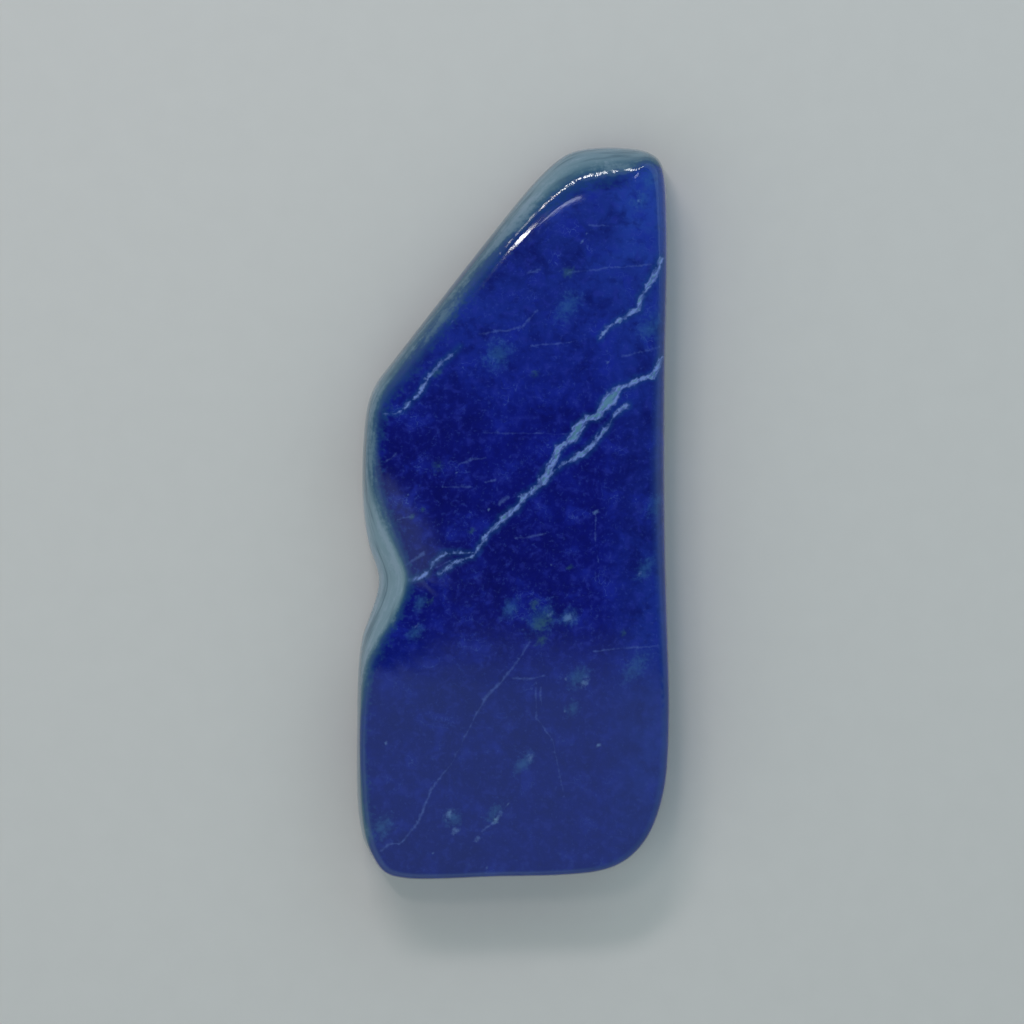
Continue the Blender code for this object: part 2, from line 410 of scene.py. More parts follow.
VEIN_FORK = (
    (-6.4, -6.4, 0.3),
    (-8.6, -6.5, 0.5),
    (-10.7, -6.6, 0.6),
    (-11.8, -7.2, 0.7),
    (-12.8, -8.1, 0.6),
    (-13.5, -9.4, 0.5),
    (-15.0, -10.6, 0.6),
    (-16.5, -11.0, 0.5),
)
VEIN_BRANCH = (
    (18.8, 17.4, 0.6),
    (17.6, 16.8, 0.9),
    (16.2, 15.4, 0.45),
    (15.2, 13.5, 0.6),
    (13.9, 12.3, 0.7),
    (12.8, 10.9, 0.9),
    (11.5, 9.7, 1.1),
    (10.2, 9.2, 1.0),
    (9.0, 8.4, 0.8),
    (7.8, 7.7, 0.6),
    (6.2, 6.6, 0.6),
)
TIP_VEIN = (
    (24.4, 41.0, 1.1),
    (23.3, 38.4, 1.1),
    (22.0, 36.6, 1.1),
    (20.8, 34.8, 1.0),
    (20.5, 32.9, 1.0),
    (19.0, 32.2, 0.9),
    (17.5, 31.3, 0.7),
    (15.9, 30.4, 0.4),
    (14.7, 29.0, 0.6),
    (14.0, 28.2, 0.3),
)
SHOULDER_VEIN = (
    (-8.4, 27.0, 0.2),
    (-9.6, 25.8, 0.4),
    (-11.3, 24.5, 0.6),
    (-12.5, 23.3, 0.8),
    (-13.4, 22.2, 0.7),
    (-14.3, 20.7, 0.7),
    (-15.1, 19.3, 0.6),
    (-16.5, 18.0, 0.5),
    (-17.6, 16.7, 0.5),
    (-18.8, 16.1, 0.4),
    (-20.9, 15.9, 0.2),
)
VEINS = (MAIN_VEIN, VEIN_FORK, VEIN_BRANCH, TIP_VEIN, SHOULDER_VEIN)

# Thin healed cracks, drawn the same way but much fainter. The first runs down to the foot's left corner.
HAIRLINES = (
    (
        (2.8, -20.9, 0.2),
        (1.1, -23.5, 0.4),
        (-1.9, -27.4, 0.5),
        (-3.6, -29.0, 0.5),
        (-4.9, -30.8, 0.5),
        (-6.2, -33.2, 0.2),
        (-9.9, -40.7, 0.1),
        (-12.6, -44.1, 0.3),
        (-13.4, -45.5, 0.4),
        (-14.4, -48.1, 0.5),
        (-15.4, -50.5, 0.5),
        (-16.8, -52.2, 0.4),
        (-18.3, -53.8, 0.5),
        (-19.9, -53.9, 0.4),
        (-21.2, -55.1, 0.4),
    ),
    ((9.1, 38.9, 0.3), (16.0, 39.7, 0.2), (22.7, 40.2, 0.3)),
    ((2.9, 27.1, 0.3), (9.9, 27.7, 0.2)),
    ((17.8, 25.4, 0.3), (24.1, 26.7, 0.4)),
    ((13.0, -22.5, 0.3), (17.7, -22.0, 0.3), (24.0, -21.7, 0.2)),
    ((0.0, -26.9, 0.3), (2.9, -26.9, 0.4), (5.2, -26.4, 0.2)),
    ((3.7, -27.5, 0.3), (3.8, -33.2, 0.2), (6.5, -36.9, 0.1), (8.4, -46.0, 0.1)),
    ((4.5, -28.2, 0.3), (4.6, -31.0, 0.2)),
    ((-18.6, -1.1, 0.3), (-16.2, -0.5, 0.3)),
    ((-11.4, 4.2, 0.3), (-7.0, 4.3, 0.3)),
    ((-8.6, 7.9, 0.3), (-6.5, 8.7, 0.4), (-4.4, 8.9, 0.3)),
    ((-5.4, 29.0, 0.3), (-0.8, 29.6, 0.6), (1.5, 30.1, 0.5), (4.0, 32.9, 0.2)),
    ((-4.5, 13.0, 0.3), (9.5, 12.8, 0.1)),
    ((12.6, 46.5, 0.3), (15.6, 46.5, 0.3)),
    ((2.6, 38.9, 0.4), (4.4, 39.4, 0.5)),
    ((-4.4, 5.0, 0.3), (-2.9, 5.3, 0.4)),
    ((0.3, -4.2, 0.3), (5.2, -3.4, 0.4)),
    ((13.4, 0.0, 0.2), (13.4, -5.0, 0.1), (13.9, -8.0, 0.1)),
    ((-12.9, -9.2, 0.2), (-10.0, -7.6, 0.2)),
    ((-17.2, -8.6, 0.5), (-14.4, -6.6, 0.7)),
    ((-0.8, 2.6, 0.6), (-2.1, 1.6, 0.7)),
    ((-20.2, 8.4, 0.4), (-18.9, 9.5, 0.4)),
    ((-4.8, -51.6, 0.4), (-2.9, -50.1, 0.5), (-1.9, -48.4, 0.3)),
)


def linear(code):
    """An sRGB hex colour as linear red, green, blue and alpha."""
    shares = [int(code[place : place + 2], 16) / 255 for place in (1, 3, 5)]
    lights = [share / 12.92 if share <= 0.04045 else ((share + 0.055) / 1.055) ** 2.4 for share in shares]
    return (*lights, 1.0)


def add_node(tree, kind, settings, inputs):
    """Adds a node with its settings. An input takes a value, a socket, or a node's first enabled output."""
    node = tree.nodes.new(kind)
    for name, value in settings.items():
        setattr(node, name, value)
    for key, value in inputs.items():
        if isinstance(value, bpy.types.Node):
            value = next(output for output in value.outputs if output.enabled)
        if isinstance(value, bpy.types.NodeSocket):
            tree.links.new(value, node.inputs[key])
        else:
            node.inputs[key].default_value = value
    return node


def draw_curve(node, places, heights):
    """Gives a Float Curve node straight stretches through the places and heights, both from 0 to 1."""
    curve = node.mapping.curves[0]
    while len(curve.points) < len(places):
        curve.points.new(0.5, 0.5)
    for point, place, height in zip(curve.points, places, heights):
        point.location = (place, height)
        point.handle_type = "VECTOR"
    node.mapping.update()


def depth_in_sheet(tree, position, route):
    """Millimetres from a point to the edge of the vein along a route, above zero inside the vein."""
    points = np.array(route)
    way = points[-1, :2] - points[0, :2]
    length = np.linalg.norm(way)
    forward = way / length
    left = np.array((-forward[1], forward[0]))
    from_start = points[:, :2] - points[0, :2]
    corner = (points[0, :2] - 0.5 * length * left) * MM
    local = add_node(tree, "ShaderNodeVectorMath", {"operation": "SUBTRACT"}, {
        0: position, 1: (*corner, 0.0),
    })
    along, across = (
        add_node(tree, "ShaderNodeVectorMath", {"operation": "DOT_PRODUCT"}, {0: local, 1: (*axis, 0.0)})
        for axis in (forward / (length * MM), left / (length * MM))
    )
    abreast = add_node(tree, "ShaderNodeClamp", {}, {"Value": along})
    middle = add_node(tree, "ShaderNodeFloatCurve", {}, {"Value": abreast})
    half_width = add_node(tree, "ShaderNodeFloatCurve", {}, {"Value": abreast})
    places = from_start @ forward / length
    draw_curve(middle, places, 0.5 + from_start @ left / length)
    draw_curve(half_width, places, points[:, 2] / 2)
    here = add_node(tree, "ShaderNodeCombineXYZ", {}, {"X": along, "Y": across})
    nearest = add_node(tree, "ShaderNodeCombineXYZ", {}, {"X": abreast, "Y": middle})
    away = add_node(tree, "ShaderNodeVectorMath", {"operation": "DISTANCE"}, {0: here, 1: nearest})
    return add_node(tree, "ShaderNodeMath", {"operation": "MULTIPLY_ADD"}, {
        0: away, 1: -length, 2: half_width,
    })


# A depth so far outside a shape that no ragged rim reaches it.
FAR_OUTSIDE = -9.0


def deepest(tree, position, depth_of, shapes):
    """The greatest depth of a point in any of several shapes, as depth_of works it out for one of them."""
    result = FAR_OUTSIDE
    for shape in shapes:
        depth = depth_of(tree, position, shape)
        result = add_node(tree, "ShaderNodeMath", {"operation": "MAXIMUM"}, {0: result, 1: depth})
    return result


# Soft marks in the blue, each an ellipsoid just under the polished face: x and y of its middle, then
# its length along the stone's grain and its breadth across it, in millimetres.
GRAIN_HEADING = 50.0
MARK_DEPTH = 3.0 * MM
TEAL_MARKS = (
    (20.8, 50.6, 4.4, 3.2),
    (22.8, 54.0, 5.4, 3.4),
    (-10.4, 33.0, 9.0, 3.2),
    (-3.6, 42.0, 6.0, 1.8),
    (-17.0, 26.5, 8.0, 2.6),
    (22.6, 30.0, 6.0, 4.5),
    (-2.5, 25.6, 6.0, 4.8),
    (8.8, 33.4, 7.0, 3.8),
    (9.1, -17.0, 4.4, 3.2),
    (4.6, -17.2, 7.0, 5.0),
    (-0.4, -15.4, 4.4, 3.0),
    (-15.0, -14.6, 4.0, 2.4),
    (-15.8, -19.4, 4.0, 2.6),
    (10.6, -26.6, 5.0, 3.6),
    (20.0, -25.0, 6.5, 3.2),
    (-9.6, -49.6, 3.4, 3.4),
    (-3.0, -48.6, 5.0, 2.2),
    (9.6, -31.8, 3.0, 2.4),
    (23.4, 1.0, 5.6, 3.0),
    (21.6, -9.0, 5.4, 3.0),
    (-21.0, -51.0, 5.0, 3.4),
    (1.8, -40.6, 5.0, 2.4),
)
OLIVE_MARKS = (
    (4.9, -17.6, 4.2, 2.6),
    (3.4, -15.0, 2.8, 1.8),
    (4.6, -20.6, 2.4, 2.0),
    (9.1, 39.0, 2.4, 2.2),
    (-12.2, 7.4, 2.4, 2.1),
    (-14.6, 0.6, 1.5, 1.0),
    (-16.2, -0.6, 1.3, 0.9),
    (-13.4, -14.4, 1.9, 1.1),
    (-6.8, -3.0, 1.5, 1.3),
    (-12.4, 22.6, 2.6, 1.7),
    (9.3, -8.8, 1.5, 1.1),
    (-2.8, -49.8, 1.6, 1.1),
    (-21.6, -22.8, 1.3, 1.2),
    (18.0, -19.6, 1.7, 1.3),
    (3.7, 22.4, 1.9, 1.5),
)
PALE_MARKS = (
    (20.7, -9.9, 1.2, 0.8),
    (13.4, 0.1, 1.4, 1.1),
    (9.2, -17.0, 2.6, 1.9),
    (6.0, -16.6, 1.4, 0.8),
    (11.6, -27.6, 2.4, 1.6),
    (8.6, -27.0, 0.8, 0.7),
    (-20.5, -37.4, 0.9, 0.8),
    (-10.3, -48.9, 2.4, 1.6),
    (-9.3, -51.6, 2.0, 1.4),
    (-2.6, -49.8, 3.0, 1.1),
    (-5.6, -52.8, 1.6, 0.9),
    (11.4, 44.0, 1.0, 0.5),
    (12.0, 45.2, 0.6, 0.4),
    (20.6, 50.6, 1.2, 0.9),
    (15.4, 24.3, 1.4, 0.7),
    (-9.6, 31.0, 1.0, 0.4),
    (-11.2, 30.8, 0.9, 0.5),
    (-8.9, 33.6, 2.2, 1.0),
    (-8.2, 36.2, 4.0, 1.4),
    (0.8, 48.4, 2.4, 1.0),
    (-3.9, 0.5, 0.7, 0.5),
    (-15.6, -18.4, 1.4, 0.7),
    (6.2, -8.4, 0.7, 0.5),
    (-17.0, 2.9, 0.7, 0.5),
    (-9.1, 6.5, 0.7, 0.4),
    (8.4, -32.2, 0.8, 0.6),
    (14.0, -37.7, 1.2, 0.8),
    (2.9, -39.7, 1.7, 1.0),
    (-0.8, -47.3, 0.8, 0.5),
    (-12.8, -55.2, 0.8, 0.6),
    (-4.1, -57.7, 1.2, 0.8),
)


def along_grain(x, y, z):
    """A place in the stone as it lies in axes turned to the stone's grain."""
    heading = math.radians(GRAIN_HEADING)
    cosine, sine = math.cos(heading), math.sin(heading)
    return (x * cosine + y * sine, y * cosine - x * sine, z)


def depth_in_mark(tree, grain_position, mark):
    """1 in the middle of a soft mark, falling to 0 at its rim and below it outside."""
    x, y, mark_length, breadth = mark
    middle = along_grain(x * MM, y * MM, THICKNESS)
    shares = (2 / (mark_length * MM), 2 / (breadth * MM), 1 / MARK_DEPTH)
    from_middle = add_node(tree, "ShaderNodeVectorMath", {"operation": "SUBTRACT"}, {
        0: grain_position, 1: middle,
    })
    scaled = add_node(tree, "ShaderNodeVectorMath", {"operation": "MULTIPLY"}, {0: from_middle, 1: shares})
    away = add_node(tree, "ShaderNodeVectorMath", {"operation": "LENGTH"}, {0: scaled})
    return add_node(tree, "ShaderNodeMath", {"operation": "SUBTRACT"}, {0: 1.0, 1: away})


# Lapis lazuli is a rock: fine grains of deep blue lazurite with white calcite and green-grey diopside.
# Ground and polished, it mirrors like glass over a mottled, opaque blue.
PATCH_SIZE = 17.0 * MM
CLOUD_SIZE = 4.5 * MM
MOTTLE_SIZE = 1.6 * MM
GRAIN_SIZE = 0.55 * MM

# The sheets of calcite move aside by these shares of their depth below the face, and waver by up to a
# few tenths of a millimetre. They are made of strands that hide more or less of the blue.
SHEET_DIP = (0.35, -0.20)
SHEET_WAVER = 0.5 * MM
STRAND_LENGTH = 1.2 * MM
STRAND_WIDTH = 0.4 * MM
STRAND_NOISE = (0.38, 0.58)
STRAND_COVERAGE = (0.36, 0.96)

# How a layer of veins or marks begins: how ragged its rim is, the depths at which it starts and is whole,
# and how much it then covers. Depths are millimetres in a vein or crack, and shares in marks and rind.
VEIN_HAZE_RIM = (1.8, -0.9, 0.3, 0.50)
VEIN_RIM = (2.2, -0.10, 0.40)
VEIN_CORE_RIM = (3.4, 0.30, 0.95, 0.80)
CRACK_RIM = (1.2, -0.14, 0.40, 0.28)
TEAL_MARK_RIM = (3.0, -0.20, 1.2, 0.40)
OLIVE_MARK_RIM = (3.2, -0.20, 1.1, 0.50)
PALE_MARK_RIM = (3.2, 0.0, 1.4, 0.44)
RIND_HAZE_RIM = (1.6, 0.20, 0.62, 0.75)
RIND_RIM = (1.2, 0.46, 0.86, 1.0)

# The blue is lightened towards the tip, a painted light where more light falls on that end, and grows paler
# along the right side. Towards the foot it is made more even and tealer, partly a painted reflection of the
# ceiling's light that veils it there. Its middle is deeper, from a line that slants across the stone. Threads
# are where a noise is near its middle value.
TIP_PAINTED_LIGHT = (8.0 * MM, 54.0 * MM)
SIDE_PALENESS = (13.0 * MM, 23.0 * MM)
FOOT_PAINTED_VEIL = (-16.0 * MM, -30.0 * MM)
MIDDLE_DEPTH = (14.0 * MM, -4.0 * MM)
MIDDLE_SLANT = (0.45, 1.0, 0.0)
THREAD_SPACING = 3.5 * MM
THREAD_HALF_WIDTH = 0.012
RIND_STREAK_LENGTH = 14.0 * MM
RIND_STREAK_WIDTH = 1.8 * MM
# The eased arris is lightened by this share, a painted sheen where it would mirror the room's light.
ARRIS_PAINTED_SHEEN = 0.42

# The polish: roughness of the blue between its smoothest and roughest grain, of calcite and of rind, then
# sizes and heights of what the hand lapping left. Heights are in millimetres.
STONE_IOR = 1.5
GRAIN_NOISE = (0.3, 0.7)
BLUE_ROUGHNESS = (0.045, 0.075)
CALCITE_ROUGHNESS = 0.16
RIND_ROUGHNESS = 0.11
LAPPING_WAVE = 14.0 * MM
LAPPING_WAVE_HEIGHT = 0.020
ARRIS_FACET = 1.0 * MM
ARRIS_FACET_HEIGHT = 0.040
GRAIN_HEIGHT = 0.001


def lapis_material():
    """Polished lapis lazuli: colour in layers over a plain blue, under one glassy polish."""
    material = bpy.data.materials.new("polished lapis lazuli")
    material.use_nodes = True
    tree = material.node_tree
    shader = tree.nodes["Principled BSDF"]
    place = add_node(tree, "ShaderNodeTexCoord", {}, {}).outputs["Object"]

    # Noises from the breadth of a thumb down to a grain. Real grains are finer than the picture can
    # show, so the finest noise is drawn as coarse as it needs to be.
    patches, clouds, mottle, grain = (
        add_node(tree, "ShaderNodeTexNoise", {}, {
            "Vector": place, "Scale": 1 / size, "Detail": detail, "Roughness": 0.6,
            "Distortion": distortion,
        })
        for size, detail, distortion in (
            (PATCH_SIZE, 2.0, 0.0), (CLOUD_SIZE, 3.0, 0.4), (MOTTLE_SIZE, 2.0, 0.3), (GRAIN_SIZE, 2.0, 0.0)
        )
    )

    # The veins lean as they go down from the polished face, and waver a little.
    parts = add_node(tree, "ShaderNodeSeparateXYZ", {}, {"Vector": place})
    below_face = add_node(tree, "ShaderNodeMath", {"operation": "SUBTRACT"}, {
        0: THICKNESS, 1: parts.outputs["Z"],
    })
    lean = add_node(tree, "ShaderNodeVectorMath", {"operation": "SCALE"}, {
        0: (*SHEET_DIP, 0.0), "Scale": below_face,
    })
    upright = add_node(tree, "ShaderNodeVectorMath", {"operation": "ADD"}, {0: place, 1: lean})
    centred = add_node(tree, "ShaderNodeVectorMath", {"operation": "SUBTRACT"}, {
        0: mottle.outputs["Color"], 1: (0.5, 0.5, 0.5),
    })
    wavered = add_node(tree, "ShaderNodeVectorMath", {"operation": "MULTIPLY_ADD"}, {
        0: centred, 1: (SHEET_WAVER,) * 3, 2: upright,
    })

    def coverage(depth, noise, raggedness, outer, inner, most):
        """How much a layer covers: none at the outer depth, most at the inner one, and ragged between."""
        raggedly = add_node(tree, "ShaderNodeMath", {"operation": "MULTIPLY_ADD"}, {
            0: noise, 1: raggedness, 2: -raggedness / 2,
        })
        rough_depth = add_node(tree, "ShaderNodeMath", {"operation": "ADD"}, {0: depth, 1: raggedly})
        return add_node(tree, "ShaderNodeMapRange", {"interpolation_type": "SMOOTHSTEP"}, {
            "Value": rough_depth, "From Min": outer, "From Max": inner, "To Min": 0.0, "To Max": most,
        })

    vein_depth = deepest(tree, wavered, depth_in_sheet, VEINS)
    crack_depth = deepest(tree, wavered, depth_in_sheet, HAIRLINES)
    turned = add_node(tree, "ShaderNodeVectorRotate", {"rotation_type": "Z_AXIS"}, {
        "Vector": wavered, "Angle": -math.radians(GRAIN_HEADING),
    })
    teal_depth, olive_depth, pale_depth = (
        deepest(tree, turned, depth_in_mark, marks) for marks in (TEAL_MARKS, OLIVE_MARKS, PALE_MARKS)
    )
    along_strands = add_node(tree, "ShaderNodeVectorMath", {"operation": "MULTIPLY"}, {
        0: turned, 1: (1 / STRAND_LENGTH, 1 / STRAND_WIDTH, 1 / STRAND_LENGTH),
    })
    strands = add_node(tree, "ShaderNodeTexNoise", {}, {"Vector": along_strands, "Scale": 1.0, "Detail": 1.0})
    vein_strength = add_node(tree, "ShaderNodeMapRange", {}, {
        "Value": strands, "From Min": STRAND_NOISE[0], "From Max": STRAND_NOISE[1],
        "To Min": STRAND_COVERAGE[0], "To Max": STRAND_COVERAGE[1],
    })
    uneven, vein_edge = (
        add_node(tree, "ShaderNodeMix", {}, {
            0: grain_share, 2: mottle.outputs["Fac"], 3: grain.outputs["Fac"],
        }).outputs[0]
        for grain_share in (0.5, 0.25)
    )
    vein_haze = coverage(vein_depth, mottle, *VEIN_HAZE_RIM)
    veins = coverage(vein_depth, vein_edge, *VEIN_RIM, vein_strength)
    vein_cores = coverage(vein_depth, uneven, *VEIN_CORE_RIM)
    cracks = coverage(crack_depth, uneven, *CRACK_RIM)
    teal_marks = coverage(teal_depth, uneven, *TEAL_MARK_RIM)
    olive_marks = coverage(olive_depth, uneven, *OLIVE_MARK_RIM)
    pale_marks = coverage(pale_depth, uneven, *PALE_MARK_RIM)

    # The rind keeps to the wall and its arris, in streaks that run level round the stone.
    rind_share = add_node(tree, "ShaderNodeAttribute", {"attribute_name": "rind"}, {})
    levelled = add_node(tree, "ShaderNodeMapping", {"vector_type": "TEXTURE"}, {
        "Vector": place, "Scale": (RIND_STREAK_LENGTH, RIND_STREAK_LENGTH, RIND_STREAK_WIDTH),
    })
    streaks = add_node(tree, "ShaderNodeTexNoise", {}, {
        "Vector": levelled, "Scale": 1.0, "Detail": 3.0, "Roughness": 0.6,
    })
    broken_streaks = add_node(tree, "ShaderNodeMix", {}, {
        0: 0.3, 2: streaks.outputs["Fac"], 3: uneven,
    }).outputs[0]
    rind_haze = coverage(rind_share.outputs["Fac"], uneven, *RIND_HAZE_RIM)
    rind = coverage(rind_share.outputs["Fac"], broken_streaks, *RIND_RIM)
    pale_rind_share = add_node(tree, "ShaderNodeAttribute", {"attribute_name": "pale_rind"}, {})
    arris_share = add_node(tree, "ShaderNodeAttribute", {"attribute_name": "arris"}, {})
    pale_rind = add_node(tree, "ShaderNodeMath", {"operation": "MULTIPLY"}, {
        0: rind, 1: pale_rind_share.outputs["Fac"],
    })

    # The blue is lightened towards the tip as painted light, and veiled towards the foot partly as a painted
    # reflection, and varies in patches, clouds, mottles and flecks, with thin pale threads where a cloud is
    # bright. Each share runs from its first coverage to its second over a range of a value.
    thread_noise = add_node(tree, "ShaderNodeTexNoise", {}, {
        "Vector": place, "Scale": 1 / THREAD_SPACING, "Detail": 3.0, "Roughness": 0.65,
    })
    off_thread = add_node(tree, "ShaderNodeMath", {"operation": "SUBTRACT"}, {0: thread_noise, 1: 0.5})
    off_thread = add_node(tree, "ShaderNodeMath", {"operation": "ABSOLUTE"}, {0: off_thread})
    along_slant = add_node(tree, "ShaderNodeVectorMath", {"operation": "DOT_PRODUCT"}, {
        0: place, 1: MIDDLE_SLANT,
    })
    ranges = {
        # painted light, stronger towards the tip
        "tip_painted_light": (parts.outputs["Y"], *TIP_PAINTED_LIGHT, 0.0, 0.45),
        "pale_side": (parts.outputs["X"], *SIDE_PALENESS, 0.0, 0.20),
        # partly a painted reflection: the veil of mirrored ceiling light over the foot
        "foot_painted_veil": (parts.outputs["Y"], *FOOT_PAINTED_VEIL, 0.0, 0.42),
        "deep_middle": (along_slant, *MIDDLE_DEPTH, 0.0, 0.28),
        "threads": (off_thread, 0.0, THREAD_HALF_WIDTH, 0.55, 0.0),
        "deep_patches": (patches.outputs["Fac"], 0.36, 0.62, 0.50, 0.0),
        "deep_clouds": (clouds.outputs["Fac"], 0.28, 0.52, 0.56, 0.0),
        "bright_clouds": (clouds.outputs["Fac"], 0.50, 0.72, 0.0, 0.60),
        "deep_mottles": (mottle.outputs["Fac"], 0.32, 0.50, 0.25, 0.0),
        "bright_mottles": (mottle.outputs["Fac"], 0.50, 0.72, 0.0, 0.38),
        "flecks": (grain.outputs["Fac"], 0.55, 0.80, 0.0, 0.30),
        "dark_streaks": (streaks.outputs["Fac"], 0.34, 0.50, 0.50, 0.0),
        "pale_streaks": (broken_streaks, 0.50, 0.62, 0.0, 0.60),
    }
    shares = {
        name: add_node(tree, "ShaderNodeMapRange", {"interpolation_type": "SMOOTHSTEP"}, {
            "Value": value, "From Min": low, "From Max": high, "To Min": at_low, "To Max": at_high,
        })
        for name, (value, low, high, at_low, at_high) in ranges.items()
    }

    # Pale streaks are twice as strong where the rind is pale as where it is dark.
    streak_strength = add_node(tree, "ShaderNodeMath", {"operation": "MULTIPLY_ADD"}, {
        0: pale_rind_share.outputs["Fac"], 1: 0.5, 2: 0.5,
    })
    pale_streaks = add_node(tree, "ShaderNodeMath", {"operation": "MULTIPLY"}, {
        0: shares["pale_streaks"], 1: streak_strength,
    })
    dark_rind, streaked_rind = (
        add_node(tree, "ShaderNodeMath", {"operation": "MULTIPLY"}, {0: rind, 1: streaked})
        for streaked in (shares["dark_streaks"], pale_streaks)
    )
    # A painted sheen: the blue of the eased arris is lightened where it would mirror the room's light.
    arris_painted_sheen = add_node(tree, "ShaderNodeMath", {"operation": "MULTIPLY"}, {
        0: arris_share.outputs["Fac"], 1: ARRIS_PAINTED_SHEEN,
    })
    cloud_threads = add_node(tree, "ShaderNodeMath", {"operation": "MULTIPLY"}, {
        0: shares["threads"], 1: shares["bright_clouds"],
    })

    # Layers of colour over the plain blue, each with how much of it shows where.
    colour = linear("#131b84")
    layers = (
        # painted light: the blue paler towards the tip
        (shares["tip_painted_light"], "#3353b8"),
        (shares["deep_middle"], "#0a0a62"),
        (shares["pale_side"], "#3a60d0"),
        (shares["deep_patches"], "#101063"),
        (shares["deep_clouds"], "#0c0f61"),
        (shares["bright_clouds"], "#202da3"),
        (shares["deep_mottles"], "#0c0f58"),
        (shares["bright_mottles"], "#2f38a6"),
        (shares["flecks"], "#4053b0"),
        (cloud_threads, "#5872c0"),
        # partly painted reflection: the foot evened out and turned teal, as the mirrored ceiling veils it
        (shares["foot_painted_veil"], "#0b247e"),
        # painted sheen on the eased arris
        (arris_painted_sheen, "#35528a"),
        (teal_marks, "#3a6a9c"),
        (olive_marks, "#385c60"),
        (vein_haze, "#1f4c80"),
        (cracks, "#7088d4"),
        (pale_marks, "#7f9cd4"),
        (veins, "#8090dc"),
        (vein_cores, "#5c8aa0"),
        (rind_haze, "#1e3f76"),
        (rind, "#2a5872"),
        (pale_rind, "#7b92a2"),
        (dark_rind, "#244a62"),
        (streaked_rind, "#94a2b8"),
    )
    for share, code in layers:
        colour = add_node(tree, "ShaderNodeMix", {"data_type": "RGBA"}, {
            "Factor": share, 6: colour, 7: linear(code),
        })
    tree.links.new(colour.outputs[2], shader.inputs["Base Color"])

    # Calcite and the rind take less polish than the blue.
    roughness = add_node(tree, "ShaderNodeMapRange", {}, {
        "Value": grain.outputs["Fac"], "From Min": GRAIN_NOISE[0], "From Max": GRAIN_NOISE[1],
        "To Min": BLUE_ROUGHNESS[0], "To Max": BLUE_ROUGHNESS[1],
    })
    for share, value in ((veins, CALCITE_ROUGHNESS), (rind, RIND_ROUGHNESS)):
        roughness = add_node(tree, "ShaderNodeMix", {}, {0: share, 2: roughness, 3: value})
    tree.links.new(roughness.outputs[0], shader.inputs["Roughness"])
    shader.inputs["IOR"].default_value = STONE_IOR

    # Hand lapping leaves the face very slightly wavy, and small flats on the eased arris. The flats keep
    # close to the middle of the arris, so its share counts twice.
    waves, facets = (
        add_node(tree, "ShaderNodeTexNoise", {}, {"Vector": place, "Scale": 1 / size, "Detail": 0.0})
        for size in (LAPPING_WAVE, ARRIS_FACET)
    )
    for _ in range(2):
        facets = add_node(tree, "ShaderNodeMath", {"operation": "MULTIPLY"}, {
            0: facets, 1: arris_share.outputs["Fac"],
        })
    height = add_node(tree, "ShaderNodeMath", {"operation": "MULTIPLY"}, {0: waves, 1: LAPPING_WAVE_HEIGHT})
    for relief, relief_height in ((facets, ARRIS_FACET_HEIGHT), (grain.outputs["Fac"], GRAIN_HEIGHT)):
        height = add_node(tree, "ShaderNodeMath", {"operation": "MULTIPLY_ADD"}, {
            0: relief, 1: relief_height, 2: height,
        })
    bump = add_node(tree, "ShaderNodeBump", {}, {"Height": height, "Strength": 1.0, "Distance": MM})
    tree.links.new(bump.outputs["Normal"], shader.inputs["Normal"])
    return material


stone.data.materials.append(lapis_material())
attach(stone, "root")
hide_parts("lapis_stone")


# Floor
# A matt pale card that the stone lies on. It isn't part of the object. The fibres of real card are finer
# than the picture can show, so its grain is drawn as coarse as it needs to be.
FLOOR_HALF = 3.0
CARD_GRAIN = 0.8 * MM
CARD_TONES = ("#ded0d0", "#e2d4d4")
CARD_ROUGHNESS = 0.9
floor_mesh = bpy.data.meshes.new("pale_floor")
floor_corners = [(x * FLOOR_HALF, y * FLOOR_HALF, 0.0) for x, y in ((-1, -1), (1, -1), (1, 1), (-1, 1))]
floor_mesh.from_pydata(floor_corners, [], [(0, 1, 2, 3)])
floor = bpy.data.objects.new("pale_floor", floor_mesh)
scene.collection.objects.link(floor)
floor_material = bpy.data.materials.new("pale matt card")
floor_material.use_nodes = True
card_tree = floor_material.node_tree
card_grain = add_node(card_tree, "ShaderNodeTexNoise", {}, {"Scale": 1 / CARD_GRAIN, "Detail": 3.0})
card_colour = add_node(card_tree, "ShaderNodeMix", {"data_type": "RGBA"}, {
    "Factor": card_grain, 6: linear(CARD_TONES[0]), 7: linear(CARD_TONES[1]),
})
floor_shader = card_tree.nodes["Principled BSDF"]
card_tree.links.new(card_colour.outputs[2], floor_shader.inputs["Base Color"])
floor_shader.inputs["Roughness"].default_value = CARD_ROUGHNESS
floor_mesh.materials.append(floor_material)


# Light
# A row of window panes beyond the pointed end, two soft boxes off the corners and two small lamps high up.
# The room's walls are pale, and so is the half of its ceiling that the foot of the stone mirrors.
WHITE = (1.0, 1.0, 1.0)


def add_light(name, azimuth, elevation, distance, size, radiance, colour=WHITE, turn=0.0, shape="RECTANGLE"):
    """A light that faces the stone, placed by its direction from the middle of the stone."""
    light = bpy.data.lights.new(name, "AREA")
    light.shape = shape
    light.size, light.size_y = size
    light.energy = radiance * math.pi * light.size * light.size_y
    light.color = colour
    level = distance * math.cos(math.radians(elevation))
    way = (level * math.cos(math.radians(azimuth)), level * math.sin(math.radians(azimuth)))
    lamp = bpy.data.objects.new(name, light)
    lamp.location = (*way, distance * math.sin(math.radians(elevation)))
    facing = (-Vector(lamp.location)).to_track_quat("-Z", "Y")
    lamp.rotation_euler = (facing @ Quaternion((0.0, 0.0, 1.0), math.radians(turn))).to_euler()
    lamp.visible_camera = False
    scene.collection.objects.link(lamp)
    return lamp


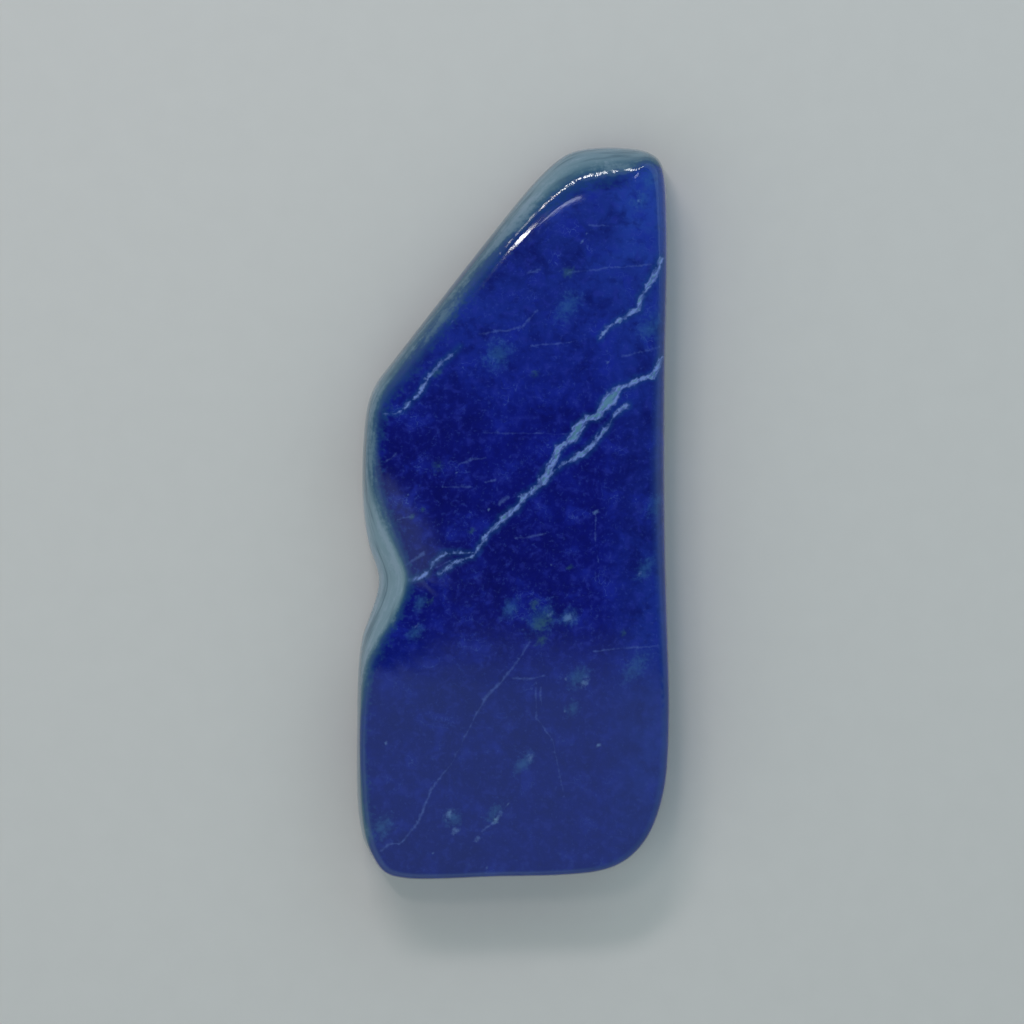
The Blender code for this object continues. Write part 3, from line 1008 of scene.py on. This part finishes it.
# The panes crowd together at both ends, where the stone's edge runs straight, and grow dimmer to the left.
PANE_AZIMUTHS = (96.2, 99.5, 105.0, 110.5, 116.0, 121.0, 125.0, 128.0, 130.4)
BRIGHT_PANES = 6
WINDOW_ELEVATION = 42.0
WINDOW_DISTANCE = 0.8
WINDOW_HEIGHT = 0.10
PANE_SHARE = 0.30
BRIGHT_PANE_RADIANCE = 42.0
DIM_PANE_RADIANCE = 15.0
for pane, azimuth in enumerate(PANE_AZIMUTHS):
    neighbours = PANE_AZIMUTHS[max(pane - 1, 0) : pane + 2]
    step = (neighbours[-1] - neighbours[0]) / (len(neighbours) - 1)
    step_width = WINDOW_DISTANCE * math.cos(math.radians(WINDOW_ELEVATION)) * math.radians(step)
    size = (step_width * PANE_SHARE, WINDOW_HEIGHT)
    radiance = BRIGHT_PANE_RADIANCE if pane < BRIGHT_PANES else DIM_PANE_RADIANCE
    add_light("window_pane_%d" % (pane + 1), azimuth, WINDOW_ELEVATION, WINDOW_DISTANCE, size, radiance)

add_light(
    "corner_softbox_right", azimuth=55.0, elevation=40.0, distance=0.65, size=(0.80, 0.50),
    radiance=0.66, colour=(0.55, 0.85, 1.0),
)
add_light(
    "corner_softbox_left", azimuth=230.0, elevation=38.0, distance=0.7, size=(1.0, 0.6),
    radiance=0.35, colour=(0.8, 0.95, 1.0),
)
add_light(
    "streak_lamp", azimuth=121.5, elevation=67.5, distance=0.8, size=(0.018, 0.165),
    radiance=36.0, turn=17.5, shape="ELLIPSE",
)
add_light(
    "faint_streak_lamp", azimuth=101.0, elevation=74.5, distance=0.8, size=(0.075, 0.012),
    radiance=8.0, colour=(0.66, 0.74, 1.0), shape="ELLIPSE",
)

# The room: how bright it is in each direction, by the parts of a direction one unit long. Its walls fade
# out upwards, to what little light comes from above. The lit half of the ceiling ends in a slanting edge
# over the stone, and is greener than the walls.
WALL_RADIANCE = 0.5
OVERHEAD_RADIANCE = 0.02
WALL_FADE = (0.45, 0.93)
CEILING_RADIANCE = 0.56
CEILING_EDGE = (-0.056, -0.028)
CEILING_SLANT = 0.18
WALL_COLOUR = (0.82, 0.95, 1.0)
CEILING_COLOUR = (0.70, 1.0, 0.95)
CEILING_TINT_RISE = (0.2, 0.6)
world = bpy.data.worlds.new("studio")
scene.world = world
world.use_nodes = True
room = world.node_tree
way = add_node(room, "ShaderNodeTexCoord", {}, {})
way_parts = add_node(room, "ShaderNodeSeparateXYZ", {}, {"Vector": way.outputs["Generated"]})
wall_share = add_node(room, "ShaderNodeMapRange", {"interpolation_type": "SMOOTHSTEP"}, {
    "Value": way_parts.outputs["Z"], "From Min": WALL_FADE[0], "From Max": WALL_FADE[1],
    "To Min": WALL_RADIANCE, "To Max": OVERHEAD_RADIANCE,
})
to_left = add_node(room, "ShaderNodeMath", {"operation": "MINIMUM"}, {0: way_parts.outputs["X"], 1: 0.0})
ceiling_edge = add_node(room, "ShaderNodeMath", {"operation": "MULTIPLY_ADD"}, {
    0: to_left, 1: CEILING_SLANT, 2: way_parts.outputs["Y"],
})
ceiling_share = add_node(room, "ShaderNodeMapRange", {"interpolation_type": "SMOOTHSTEP"}, {
    "Value": ceiling_edge, "From Min": CEILING_EDGE[0], "From Max": CEILING_EDGE[1],
    "To Min": CEILING_RADIANCE, "To Max": 0.0,
})
room_radiance = add_node(room, "ShaderNodeMath", {"operation": "MAXIMUM"}, {0: wall_share, 1: ceiling_share})
ceiling_tint = add_node(room, "ShaderNodeMapRange", {"interpolation_type": "SMOOTHSTEP"}, {
    "Value": way_parts.outputs["Z"], "From Min": CEILING_TINT_RISE[0], "From Max": CEILING_TINT_RISE[1],
    "To Min": 0.0, "To Max": 1.0,
})
room_colour = add_node(room, "ShaderNodeMix", {"data_type": "RGBA"}, {
    "Factor": ceiling_tint, 6: (*WALL_COLOUR, 1.0), 7: (*CEILING_COLOUR, 1.0),
})
room.links.new(room_colour.outputs[2], room.nodes["Background"].inputs["Color"])
room.links.new(room_radiance.outputs[0], room.nodes["Background"].inputs["Strength"])
